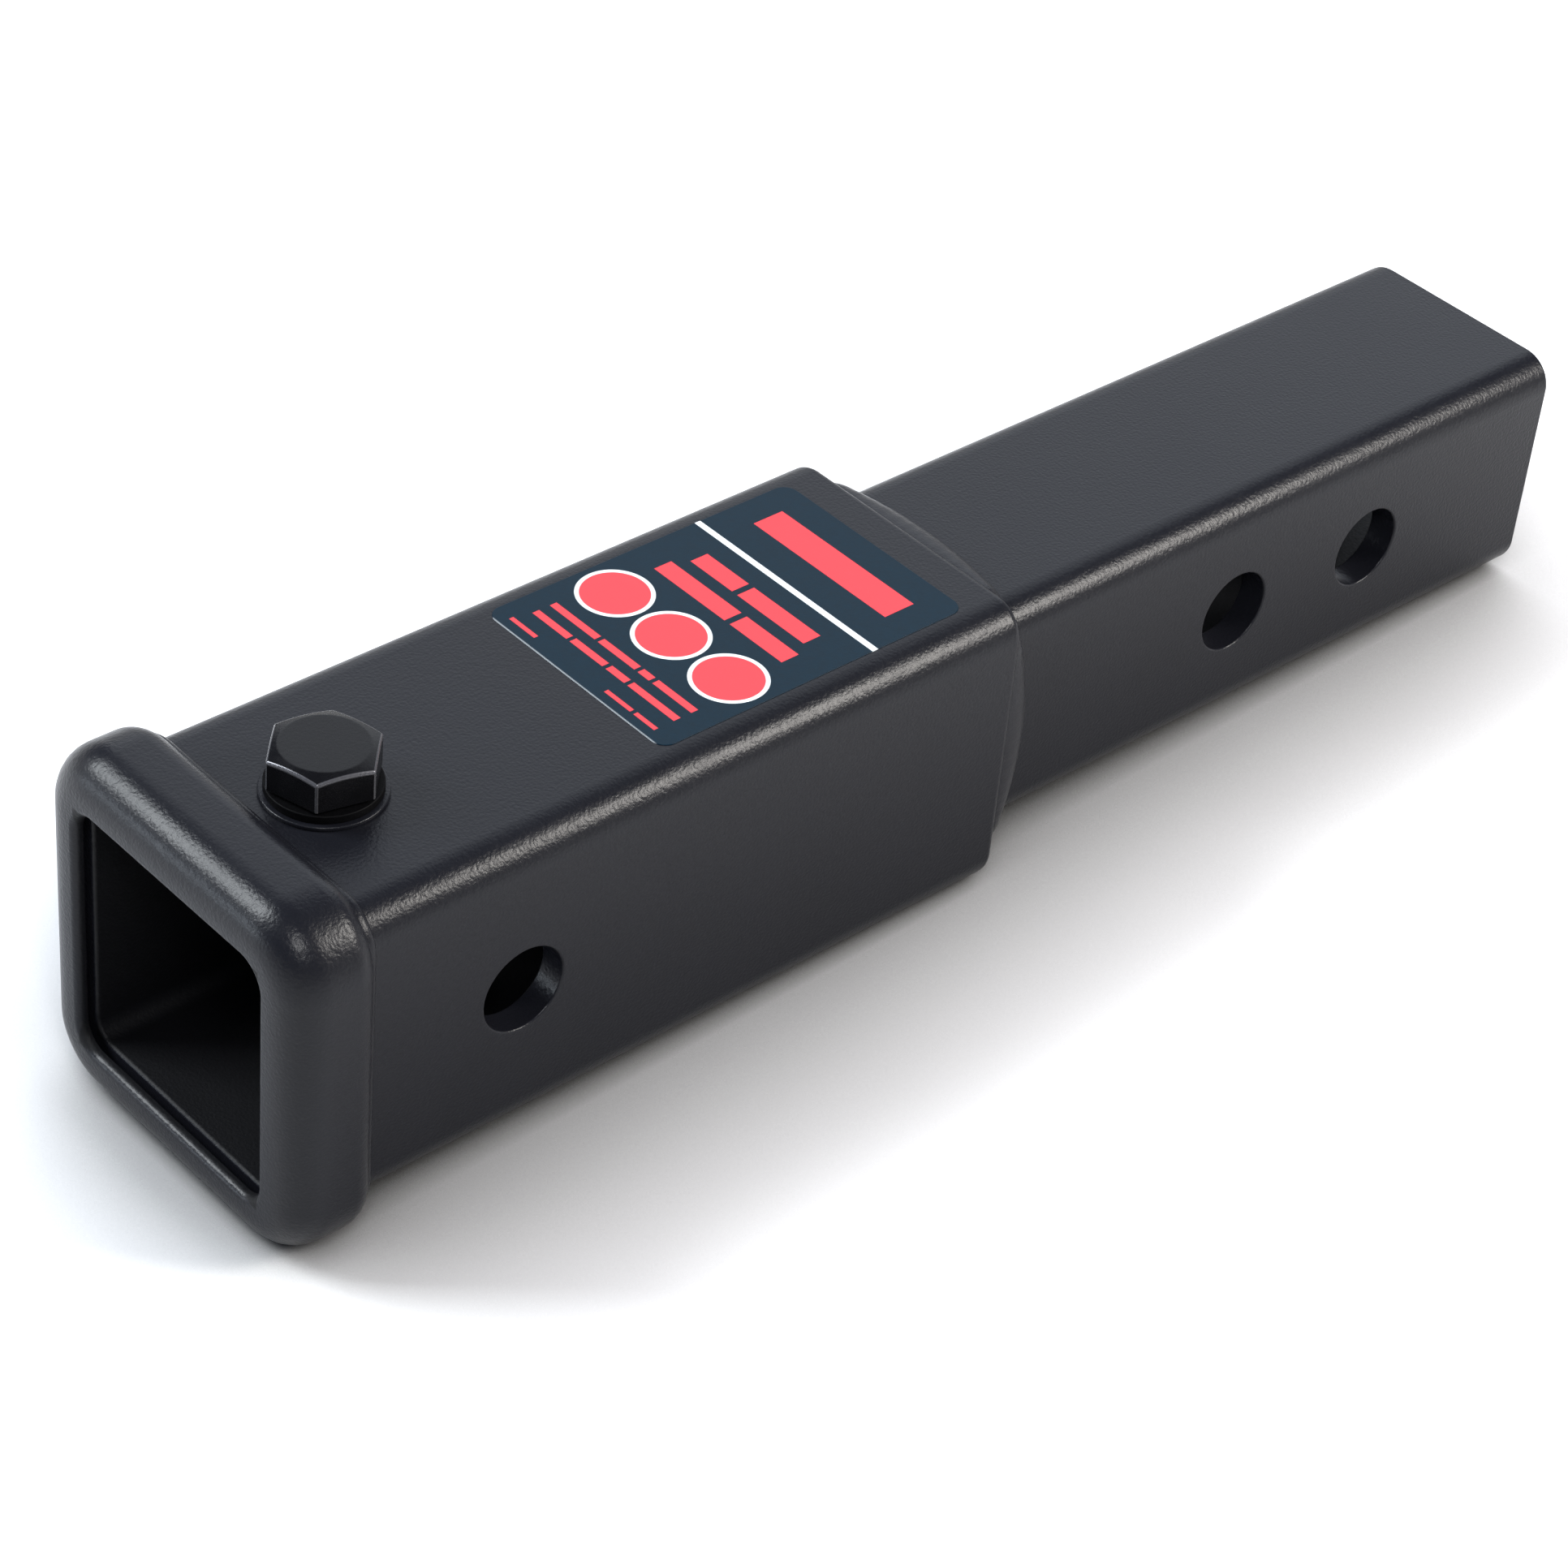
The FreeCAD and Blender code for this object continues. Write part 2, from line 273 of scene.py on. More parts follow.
def straight(xs):
    """Profile points on the bar's surface."""
    return np.stack([xs, np.zeros(len(xs))], axis=-1)


def prism_rings(inner, reach, blocks, block_steps):
    """Rings round a prism with rounded long edges, one for each value of inner.

    A ring stands out by reach from a polygon whose sides lie at the distance inner from the axis:
    its sides are straight and its corners are arcs of radius reach. blocks gives, for each side,
    half the width of a middle stretch with evenly spaced points. Returns the two coordinates across
    the axis, as arrays of rings by points.
    """
    sides = len(blocks)
    flat = inner * math.tan(math.pi / sides)
    even = np.linspace(-1, 1, block_steps + 1)
    bend = TURN / sides * np.arange(CORNER_STEPS) / CORNER_STEPS
    angle = np.concatenate([np.zeros(LEAD_POINTS + len(even) + 1), bend])
    reach = np.broadcast_to(reach, (len(inner), sides * len(angle)))
    rings = []
    for side, out in enumerate(np.split(reach, sides, axis=1)):
        block = blocks[side] * even + 0 * flat
        margin = (flat + blocks[side]) / 2
        corner = np.repeat(flat, CORNER_STEPS, axis=1)
        along = np.concatenate([-flat, -margin, block, margin, corner], axis=1)
        rings.append(turned(inner + out * np.cos(angle), along + out * np.sin(angle), TURN * side / sides))
    return np.concatenate(rings, axis=2)


def square_rings(profile, half, corner, blocks=PLAIN_BLOCKS, block_steps=PLAIN_STEPS):
    """Rings round a square bar along X, for a profile of (x, distance out from the bar's surface)."""
    x, out = profile[:, :1], profile[:, 1:]
    y, z = prism_rings(np.full_like(x, half - corner), corner + out, blocks, block_steps)
    return points_of(x, y, z)


def hole_patch(x, side, radius, rim, block, outer, inner):
    """The surface round and through one hole in a wall, between the blocks of its two faces.

    Its loops are drawn in from a square to a circle, go round the rim, run through the wall and
    open out to the square on the inner face.
    """
    edge = block * np.linspace(-1, 1, BLOCK_STEPS + 1)[:-1]
    level = np.full(BLOCK_STEPS, block)
    square = np.stack([
        np.concatenate([edge, level, -edge, -level]),
        np.concatenate([-level, edge, level, -edge])], axis=-1)
    circle = square / np.linalg.norm(square, axis=-1, keepdims=True)
    share = np.linspace(0, 1, FAN_STEPS + 1)[:-1, None, None]
    fan = square * (1 - share) + circle * (radius + rim) * share
    rounding = arc(radius + rim, -rim, rim, 1, 2)
    neck = circle * rounding[:, :1, None]
    loops = np.concatenate([fan, neck, neck[::-1], fan[::-1]])
    depth = np.concatenate([
        np.full(FAN_STEPS, outer),
        outer + rounding[:, 1],
        inner - rounding[::-1, 1],
        np.full(FAN_STEPS, inner)])
    y, z = turned(depth[:, None], loops[:, :, 1], QUARTER * side)
    return grid_surface(points_of(x + loops[:, :, 0], y, z))


def square_tube(front, back, half, corner, bore_half, bore_corner, roundings, holes):
    """A square tube with rounded ends, drilled across.

    Its profile goes back along the outside, round the rear edge, forward through the bore and round
    the front edge, and is carried round the square. roundings are those of the front and rear outer
    edges and of the bore's two edges. A hole is (x, side, radius, rim, block).
    """
    front_rounding, back_rounding, bore_rounding = roundings
    blocks = list(PLAIN_BLOCKS)
    rows = []
    for x, side, _, _, block in holes:
        blocks[side] = block
        rows.append(x + block * np.linspace(-1, 1, BLOCK_STEPS + 1))
    xs = np.unique(np.round(np.concatenate(rows), PLACE_DIGITS))
    outside = np.concatenate([
        arc(front + front_rounding, -front_rounding, front_rounding, 2, 1),
        straight(xs),
        arc(back - back_rounding, -back_rounding, back_rounding, 1, 0)])
    inside = np.concatenate([
        arc(back - bore_rounding, bore_rounding, bore_rounding, 0, -1),
        straight(xs[::-1]),
        arc(front + bore_rounding, bore_rounding, bore_rounding, -1, -2)])
    points = np.concatenate([
        square_rings(outside, half, corner, blocks, BLOCK_STEPS),
        square_rings(inside, bore_half, bore_corner, blocks, BLOCK_STEPS)])
    rows_x = points[:, 0, 0]
    middles = (rows_x + np.roll(rows_x, -1)) / 2
    side_points = points.shape[1] // len(blocks)
    skipped = np.zeros(points.shape[:2], bool)
    surfaces = []
    for x, side, radius, rim, block in holes:
        first = side * side_points + LEAD_POINTS
        skipped[abs(middles - x) < block, first:first + BLOCK_STEPS] = True
        surfaces.append(hole_patch(x, side, radius, rim, block, half, bore_half))
    surfaces.append(grid_surface(points, wrap_rows=True, skipped=skipped))
    return surfaces


def lathe(profile, middle, angles=None, shear=0.0):
    """A closed profile of (radius, height) carried round an upright axis.

    With angles given, the ring is open and has flat ends; shear turns the profile by an angle for
    each metre of height.
    """
    radius, height = profile.T
    full = angles is None
    if full:
        angles = TURN * np.arange(ROUND_STEPS) / ROUND_STEPS
    phi = angles[:, None] + shear * (height - height.mean())
    points = points_of(middle[0] + radius * np.cos(phi), middle[1] + radius * np.sin(phi), height)
    return grid_surface(points, wrap_rows=full, lids=not full)


def ring_section(inner, outer, base, top, rounding):
    """A closed (radius, height) outline of a flat ring's section, with rounded corners."""
    return np.concatenate([
        arc(outer - rounding, base + rounding, rounding, -1, 0),
        arc(outer - rounding, top - rounding, rounding, 0, 1),
        arc(inner + rounding, top - rounding, rounding, 1, 2),
        arc(inner + rounding, base + rounding, rounding, 2, 3)])


def add_piece(name, surfaces, material, body, nodes):
    """A closed mesh from (points, faces) surfaces, riding on a body and standing for its nodes.

    Points that coincide are merged and the faces are turned outwards.
    """
    points = []
    faces = []
    first = 0
    for surface_points, surface_faces in surfaces:
        points.append(surface_points.reshape(-1, 3))
        faces.extend([[first + corner for corner in face] for face in surface_faces])
        first += len(points[-1])
    mesh = bpy.data.meshes.new(name)
    mesh.from_pydata(np.concatenate(points).tolist(), [], faces)
    work = bmesh.new()
    work.from_mesh(mesh)
    bmesh.ops.remove_doubles(work, verts=work.verts, dist=MERGE)
    bmesh.ops.recalc_face_normals(work, faces=work.faces)
    work.to_mesh(mesh)
    work.free()
    mesh.polygons.foreach_set("use_smooth", np.ones(len(mesh.polygons), bool))
    mesh.set_sharp_from_angle(angle=SHARP)
    mesh.materials.append(material)
    piece = bpy.data.objects.new(name, mesh)
    bpy.context.scene.collection.objects.link(piece)
    weighted = piece.modifiers.new("Weighted normals", "WEIGHTED_NORMAL")
    weighted.keep_sharp = True
    weighted.weight = 100
    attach(piece, body)
    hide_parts(*nodes)
    return piece


def add_coated(name, surfaces, settings):
    """A piece of coated steel that is fixed to the extender, for the node of the same name."""
    node = "shank_tube" if name == "Shank" else name.lower()
    add_piece(name, surfaces, coat_material(settings), "extender", [node])


class Wire:
    """A socket of a node tree, on which Python's operators add Math nodes."""

    def __init__(self, recipe, socket):
        self.recipe = recipe
        self.socket = socket

    def maths(self, operation, *values):
        return self.recipe.node("ShaderNodeMath", {"operation": operation}, dict(enumerate(values)))

    def __add__(self, other):
        return self.maths("ADD", self, other)

    def __sub__(self, other):
        return self.maths("SUBTRACT", self, other)

    def __rsub__(self, other):
        return self.maths("SUBTRACT", other, self)

    def __mul__(self, other):
        return self.maths("MULTIPLY", self, other)

    def __abs__(self):
        return self.maths("ABSOLUTE", self)

    def __pow__(self, other):
        return self.maths("POWER", self, other)

    __radd__ = __add__
    __rmul__ = __mul__

    def smaller(self, other):
        return self.maths("MINIMUM", self, other)

    def larger(self, other):
        return self.maths("MAXIMUM", self, other)

    def swing(self, width):
        """The change that a value from 0 to 1 brings about its middle: (value - 0.5) * width."""
        return (self - 0.5) * width

    def ramp(self, low, high):
        """0 below low and 1 above high, and smooth between."""
        return self.recipe.node(
            "ShaderNodeMapRange", {"interpolation_type": "SMOOTHSTEP"},
            {"Value": self, "From Min": low, "From Max": high})

    def sibling(self, name):
        """Another output of the same node."""
        return Wire(self.recipe, self.socket.node.outputs[name])


class Recipe:
    """A material or a world while its nodes are laid out."""

    def __init__(self, holder):
        holder.use_nodes = True
        self.holder = holder
        self.tree = holder.node_tree
        self.tree.nodes.clear()

    def node(self, kind, settings=None, values=None, output=0):
        """A node: its settings are made first, then its sockets get values or links."""
        node = self.tree.nodes.new(kind)
        for key, value in (settings or {}).items():
            setattr(node, key, value)
        for key, value in (values or {}).items():
            if isinstance(value, Wire):
                self.tree.links.new(value.socket, node.inputs[key])
            else:
                node.inputs[key].default_value = value
        return Wire(self, node.outputs[output])

    def place(self):
        """Object coordinates, in metres."""
        return self.node("ShaderNodeTexCoord", output="Object")

    def axes(self):
        """X, Y and Z of the object coordinates."""
        split = self.node("ShaderNodeSeparateXYZ", {}, {0: self.place()})
        return [split.sibling(axis) for axis in "XYZ"]

    def noise(self, width, detail=2.0, roughness=0.5):
        """Even noise whose blots are about as wide as width."""
        return self.node(
            "ShaderNodeTexNoise", {},
            {"Vector": self.place(), "Scale": 1 / width, "Detail": detail, "Roughness": roughness})

    def blend(self, factor, first, second):
        """The first colour where the factor is 0, the second where it is 1."""
        return self.node(
            "ShaderNodeMix", {"data_type": "RGBA"},
            {"Factor": factor, "A": first, "B": second}, output="Result")

    def bump(self, height, distance):
        """A normal tilted by a height from 0 to 1, whose whole range is distance."""
        return self.node("ShaderNodeBump", {}, {"Height": height, "Distance": distance, "Strength": 1.0})

    def finish(self, colour, roughness, normal, gloss, metallic=0.0):
        """Ends a material with the general shader; gloss is the strength of its clear reflection."""
        return self.surface(self.node("ShaderNodeBsdfPrincipled", {}, {
            "Base Color": colour,
            "Roughness": roughness,
            "Metallic": metallic,
            "Specular IOR Level": gloss,
            "Normal": normal}))

    def surface(self, shader, kind="ShaderNodeOutputMaterial"):
        """Ends the recipe with its shader, and gives the material or the world."""
        end = self.tree.nodes.new(kind)
        self.tree.links.new(shader.socket, end.inputs["Surface"])
        return self.holder


def tinted(colour, share=1.0):
    """A colour made lighter or darker by one factor, with its alpha."""
    return tuple(part * share for part in colour) + (1.0,)


# The coat's slow changes: their width, and how far its colour and its roughness go with them
COAT_NAME = "Powder coat"
TONE_WIDTH = 22 * MM
TONE_CHANGE = 0.12
TONE_SHEEN = 0.08

# The orange peel: its share of the roughness, and the parts of the fine and of the coarse grain
PEEL_SHEEN = 0.1
FINE_PEEL = 0.9
COARSE_PEEL = 0.2

# Painted shade inside the bores: the share of the coat's colour left there, its added roughness
# and its edge past a bore's wall, and where one bore changes to the other, from the receiver tube's end
BORE_PAINTED_SHADE = 0.3
BORE_SHEEN = 0.25
BORE_FADE = (0.1 * MM, 0.5 * MM)
BORE_CHANGE = (-2.0 * MM, -1.0 * MM)


def coat_material(settings):
    """Satin powder coat: a fine and a coarse orange peel, with slow changes of tone and gloss.

    Inside the bores, where max(|y|, |z|) is under half a bore, the colour is darkened as painted
    shade and the roughness is raised. It is made when the first coated piece needs it.
    """
    made = bpy.data.materials.get(COAT_NAME)
    if made:
        return made
    coat = settings.coat
    recipe = Recipe(bpy.data.materials.new(COAT_NAME))
    fine = recipe.noise(coat.grain)
    coarse = recipe.noise(coat.grain * 2, detail=1.0)
    slow = recipe.noise(TONE_WIDTH)
    colour = recipe.blend(
        slow, tinted(coat.colour, 1 - TONE_CHANGE), tinted(coat.colour, 1 + TONE_CHANGE))
    tube_back = node_box("receiver_tube")[1][0]
    tube_bore = half_height("receiver_tube") - settings.tube.wall
    shank_bore = half_height("shank_tube") - settings.tube.shank_wall
    x, y, z = recipe.axes()
    in_tube = 1 - x.ramp(tube_back + BORE_CHANGE[0], tube_back + BORE_CHANGE[1])
    past_bore = abs(y).larger(abs(z)) - (shank_bore + in_tube * (tube_bore - shank_bore))
    inside = 1 - past_bore.ramp(*BORE_FADE)
    # Painted shade: the coat's colour is darkened inside the bores
    colour = recipe.blend(inside, colour, tinted(coat.colour, BORE_PAINTED_SHADE))
    roughness = coat.roughness + slow.swing(TONE_SHEEN) + fine.swing(PEEL_SHEEN) + inside * BORE_SHEEN
    peel = fine * FINE_PEEL + coarse * COARSE_PEEL
    return recipe.finish(colour, roughness, recipe.bump(peel, coat.grain_height), gloss=0.17)


# The mesh attribute that tells where a highlight is painted on the bolt's edges, and how even it is
HIGHLIGHT_ATTRIBUTE = "painted_highlight"
LEAST_HIGHLIGHT = 0.6
HIGHLIGHT_CHANGE = 0.6


def steel_material(settings):
    """Blackened steel: dark oxide with fine blots, and a painted highlight where the attribute is 1."""
    recipe = Recipe(bpy.data.materials.new("Blackened steel"))
    fine = recipe.noise(0.6 * MM, detail=3.0)
    slow = recipe.noise(4.0 * MM, detail=3.0)
    painted_highlight = recipe.node("ShaderNodeAttribute", {"attribute_name": HIGHLIGHT_ATTRIBUTE}, output="Fac")
    # Painted highlight: the marked edges are made lighter and partly metallic
    edge_highlight = (painted_highlight * (LEAST_HIGHLIGHT + fine * HIGHLIGHT_CHANGE)).smaller(1.0)
    colour = recipe.blend(slow, tinted(settings.steel, 0.75), tinted(settings.steel, 1.3))
    colour = recipe.blend(edge_highlight, colour, tinted(settings.edge_highlight))
    roughness = 0.27 + slow.swing(0.15) + fine.swing(0.1)
    normal = recipe.bump(fine, 0.03 * MM)
    return recipe.finish(colour, roughness, normal, gloss=0.14, metallic=edge_highlight * 0.6)


def dull_material(settings):
    """Dull black spring steel: a rough oxide with fine blots."""
    recipe = Recipe(bpy.data.materials.new("Dull black steel"))
    fine = recipe.noise(0.5 * MM, detail=3.0)
    colour = recipe.blend(fine, tinted(settings.steel, 0.3), tinted(settings.steel, 0.8))
    return recipe.finish(colour, 0.55 + fine.swing(0.2), recipe.bump(fine, 0.02 * MM), gloss=0.05)


# Rows of print, in mm: distance from the label's first edge, width, and the ends of each block across
PRINT_ROWS = (
    (61.6, 7.0, ((-18.0, 18.0),)),
    (42.6, 4.0, ((-15.5, 2.5), (4.0, 15.5))),
    (35.6, 4.0, ((-17.5, -3.5), (-2.0, 17.5))),
    (11.6, 1.5, ((-19.5, -9.0), (-8.0, -5.0), (-4.0, 6.0), (7.0, 19.5))),
    (7.6, 1.5, ((-19.5, -7.0), (-6.0, -1.0), (0.0, 9.0), (10.0, 19.5))),
    (2.8, 0.9, ((-19.5, -14.0), (-13.0, -6.0), (13.5, 20.5))),
)

# The pale stripe's place from the first edge and its width
STRIPE_PLACE = 49.8 * MM
STRIPE_WIDTH = 1.3 * MM

# The discs' place from the first edge, the distance between them, their radius and their pale rim
DISC_PLACE = 22.8 * MM
DISC_PITCH = 15.7 * MM
DISC_RADIUS = 6.55 * MM
DISC_RIM = 0.8 * MM

# Half the soft edge of a printed shape, and the painted highlight, a pale line along the first edge:
# its fade and paleness
INK_EDGE = 0.12 * MM
EDGE_HIGHLIGHT_FADE = (0.1 * MM, 0.35 * MM)
EDGE_HIGHLIGHT_PALENESS = 0.3


def label_material(settings, low, high):
    """Printed film: a pale stripe, three rimmed discs and bars of red on a dark ground.

    Each shape is a mask of the distance from its middle lines or its centre, in object coordinates.
    """
    recipe = Recipe(bpy.data.materials.new("Printed film"))
    x, y, _ = recipe.axes()

    def disc(centre_x, centre_y, radius):
        away = ((x - centre_x) * (x - centre_x) + (y - centre_y) * (y - centre_y)) ** 0.5
        return 1 - away.ramp(radius - INK_EDGE, radius + INK_EDGE)

    def bar(centre_x, centre_y, width, height):
        over_x = abs(x - centre_x) - width / 2
        over_y = abs(y - centre_y) - height / 2
        return 1 - over_x.larger(over_y).ramp(-INK_EDGE, INK_EDGE)

    pale = bar(low[0] + STRIPE_PLACE, 0, STRIPE_WIDTH, high[1] - low[1])
    red = None
    for centre_y in (-DISC_PITCH, 0, DISC_PITCH):
        pale = pale.larger(disc(low[0] + DISC_PLACE, centre_y, DISC_RADIUS + DISC_RIM))
        spot = disc(low[0] + DISC_PLACE, centre_y, DISC_RADIUS)
        red = red.larger(spot) if red else spot
    for from_start, width, blocks in PRINT_ROWS:
        for first, last in blocks:
            red = red.larger(bar(
                low[0] + from_start * MM, (first + last) / 2 * MM, width * MM, (last - first) * MM))
    blots = recipe.noise(1.2 * MM, detail=3.0, roughness=0.7)
    colour = recipe.blend(blots, tinted(settings.ground, 0.7), tinted(settings.ground, 1.3))
    colour = recipe.blend(pale, colour, tinted(settings.pale))
    colour = recipe.blend(red, colour, tinted(settings.red))
    # Painted highlight: a pale line along the label's first edge
    painted_edge_line = 1 - (x - low[0]).ramp(*EDGE_HIGHLIGHT_FADE)
    colour = recipe.blend(painted_edge_line * EDGE_HIGHLIGHT_PALENESS, colour, tinted(settings.pale))
    normal = recipe.bump(recipe.noise(0.8 * MM), 0.01 * MM)
    return recipe.finish(colour, 0.42 + blots.swing(0.1), normal, gloss=0.1)


class EXTENDER_OT_receiver_tube(bpy.types.Operator):
    """Make the receiver tube, with its pin hole and its tapped hole"""
    bl_idname = "extender.receiver_tube"
    bl_label = "Receiver tube"

    def execute(self, context):
        settings = context.scene.extender
        tube = settings.tube
        low, high = node_box("receiver_tube")
        pin_x = 0.0
        holes = [(pin_x, side, tube.pin_hole / 2, tube.hole_rim, PIN_BLOCK) for side in (PLUS_Y, MINUS_Y)]
        holes.append((bolt_axis()[0], TOP, tube.tapped_hole / 2, tube.hole_rim / 2, TAP_BLOCK))
        surfaces = square_tube(
            low[0], high[0], high[2], tube.corner, high[2] - tube.wall, tube.bore_corner,
            (tube.bore_rounding, tube.end_rounding, tube.bore_rounding), holes)
        add_coated("Receiver_tube", surfaces, settings)
        return {"FINISHED"}


class EXTENDER_OT_shank_tube(bpy.types.Operator):
    """Make the shank, with its two pin holes"""
    bl_idname = "extender.shank_tube"
    bl_label = "Shank"

    def execute(self, context):
        settings = context.scene.extender
        tube = settings.tube
        low, high = node_box("shank_tube")
        holes = []
        for x in (tube.near_hole, tube.near_hole + tube.hole_pitch):
            for side in (PLUS_Y, MINUS_Y):
                holes.append((x, side, tube.pin_hole / 2, tube.hole_rim, PIN_BLOCK))
        surfaces = square_tube(
            low[0], high[0], high[2], tube.shank_corner, high[2] - tube.shank_wall, tube.shank_bore_corner,
            (tube.shank_end_rounding, tube.shank_end_rounding, tube.bore_rounding), holes)
        add_coated("Shank", surfaces, settings)
        return {"FINISHED"}


class EXTENDER_OT_mouth_collar(bpy.types.Operator):
    """Make the rounded collar round the mouth, with its lip"""
    bl_idname = "extender.mouth_collar"
    bl_label = "Mouth collar"

    def execute(self, context):
        settings = context.scene.extender
        collar = settings.collar
        low, high = node_box("mouth_collar")
        front, back, half = low[0], high[0], high[2]
        floor_x = front + collar.lip_depth
        socket = half_height("receiver_tube") + collar.slip
        outside = np.concatenate([
            arc(front + collar.front_rounding, -collar.front_rounding, collar.front_rounding, 2, 1),
            arc(back - collar.back_rounding, -collar.back_rounding, collar.back_rounding, 1, 0)])
        lip = np.concatenate([
            straight([floor_x]),
            arc(front + collar.lip_rounding, collar.lip_rounding, collar.lip_rounding, -1, -2)])
        points = np.concatenate([
            square_rings(outside, half, collar.corner),
            square_rings(straight([back, floor_x]), socket, settings.tube.corner + collar.slip),
            square_rings(lip, collar.lip_half, collar.lip_corner)])
        add_coated("Mouth_collar", [grid_surface(points, wrap_rows=True)], settings)
        return {"FINISHED"}


def path_length(points):
    """Distance travelled at each point of a path, from its first."""
    steps = np.linalg.norm(np.diff(points, axis=0), axis=1)
    return np.concatenate([[0.0], np.cumsum(steps)])


def bead_swell(travelled, pitch, height):
    """How far a bead is filled along its weld, from 1 on a ripple to 1 - 2 height between two.

    The ripples are a cosine whose spacing wanders a little, by two slow sines.
    """
    wander = 0.35 * np.sin(travelled / (2.7 * pitch)) + 0.2 * np.sin(travelled / (1.3 * pitch) + 1.0)
    return 1 - height * (1 - np.cos(TURN * (travelled / pitch + wander)))


# How much stronger the ripples of the front bead are than those of the rear beads
FRONT_SWELL = 3


class EXTENDER_OT_collar_weld(bpy.types.Operator):
    """Make the small bead behind the collar"""
    bl_idname = "extender.collar_weld"
    bl_label = "Collar weld"

    def execute(self, context):
        settings = context.scene.extender
        weld = settings.weld
        low, high = node_box("collar_weld")
        tube_half, corner = half_height("receiver_tube"), settings.tube.corner
        leg, height = high[0] - low[0], high[2] - tube_half
        angle = QUARTER * np.linspace(0, 1, ARC_STEPS + 1)
        back = np.stack([leg * np.cos(angle), height * np.sin(angle)], axis=-1)
        profile = np.concatenate([[[-weld.tuck, 0.0]], back, [[-weld.tuck, height]]])
        root = square_rings(profile[:1], tube_half, corner, block_steps=WELD_STEPS)[0]
        swell = bead_swell(path_length(root), weld.ripple_pitch, FRONT_SWELL * weld.ripple)
        inner = np.full((len(profile), 1), tube_half - corner)
        y, z = prism_rings(inner, corner + profile[:, 1:] * swell, PLAIN_BLOCKS, WELD_STEPS)
        points = points_of(low[0] + profile[:, :1] * swell, y, z)
        add_coated("Collar_weld", [grid_surface(points, wrap_rows=True)], settings)
        return {"FINISHED"}


# The rear beads, from the top round to the +Y side, how far the ripples move from one to the next,
# and how sharply their crests lean back
SHANK_BEADS = ("shank_weld_top", "shank_weld_left", "shank_weld_bottom", "shank_weld_right")
RIPPLE_SHIFT = 11 * MM
LEAN_POWER = 6


def bead_points(turns, leg, weld, tube):
    """Rows of points across one rear bead, which lies a number of quarter turns on from the top.

    Its path runs along the shank's side and half way round both corners. Its section is a quarter
    ellipse that gets lower and shorter with the square of the distance from the middle, and its
    crest leans back on the round edge of the tube's end.
    """
    tube_back = node_box("receiver_tube")[1][0]
    shank_half = half_height("shank_tube")
    flat = shank_half - tube.shank_corner
    half_length = flat + tube.shank_corner * QUARTER / 2
    travelled = np.linspace(-half_length, half_length, 2 * WELD_STEPS + 1)[:, None]
    along = np.clip(travelled, -flat, flat)
    bend = (travelled - along) / tube.shank_corner
    share = (travelled / half_length) ** 2
    angle = QUARTER * np.linspace(0, 1, 2 * ARC_STEPS + 1)
    cosine = np.concatenate([[0], np.cos(angle)])
    sine = np.concatenate([[0], np.sin(angle)])
    swell = bead_swell(travelled + turns * RIPPLE_SHIFT, weld.ripple_pitch, weld.ripple)
    reach = (leg + (weld.end_leg - leg) * share) * swell
    height = (weld.height + (weld.end_height - weld.height) * share) * swell * sine
    rounding = tube.end_rounding
    past_edge = np.clip(height - (half_height("receiver_tube") - shank_half - rounding), 0, rounding)
    lean = rounding - np.sqrt(rounding ** 2 - past_edge ** 2)
    radius = tube.shank_corner + height
    y, z = turned(flat + radius * np.cos(bend), -along - radius * np.sin(bend), QUARTER * (turns + TOP))
    return points_of(tube_back + reach * cosine - lean * sine ** LEAN_POWER, y, z)


class EXTENDER_OT_shank_welds(bpy.types.Operator):
    """Make the four beads between the tube's rear end and the shank"""
    bl_idname = "extender.shank_welds"
    bl_label = "Shank welds"

    def execute(self, context):
        settings = context.scene.extender
        for turns, name in enumerate(SHANK_BEADS):
            low, high = node_box(name)
            points = bead_points(turns, high[0] - low[0], settings.weld, settings.tube)
            add_coated(name.capitalize(), [grid_surface(points, lids=True)], settings)
        return {"FINISHED"}


class EXTENDER_OT_washers(bpy.types.Operator):
    """Make the flat washer and the split lock washer"""
    bl_idname = "extender.washers"
    bl_label = "Washers"

    def execute(self, context):
        settings = context.scene.extender
        washer = settings.washer
        low, high = node_box("flat_washer")
        section = ring_section(
            washer.flat_bore / 2, (high[1] - low[1]) / 2, low[2], high[2], washer.flat_edge)
        add_coated("Flat_washer", [lathe(section, bolt_axis())], settings)
        low, high = node_box("lock_washer")
        outer = max(high[0] - bolt_axis()[0], (high[1] - low[1]) / 2)
        bore = washer.lock_bore / 2
        section = ring_section(bore, outer, low[2], high[2], washer.lock_edge)
        middle_radius = (outer + bore) / 2
        half_gap = washer.split / 2 / middle_radius
        angles = washer.split_turn + np.linspace(half_gap, TURN - half_gap, ROUND_STEPS)
        shear = -math.tan(washer.split_lean) / middle_radius
        surfaces = [lathe(section, bolt_axis(), angles, shear)]
        dull = dull_material(settings.coat)
        add_piece("Lock_washer", surfaces, dull, "spring_washer", ["lock_washer"])
        return {"FINISHED"}


# The steepness of the thread's flanks and of its run-out under the head
FLANK_SLOPE = 1.7
RUN_OUT_SLOPE = 1.5


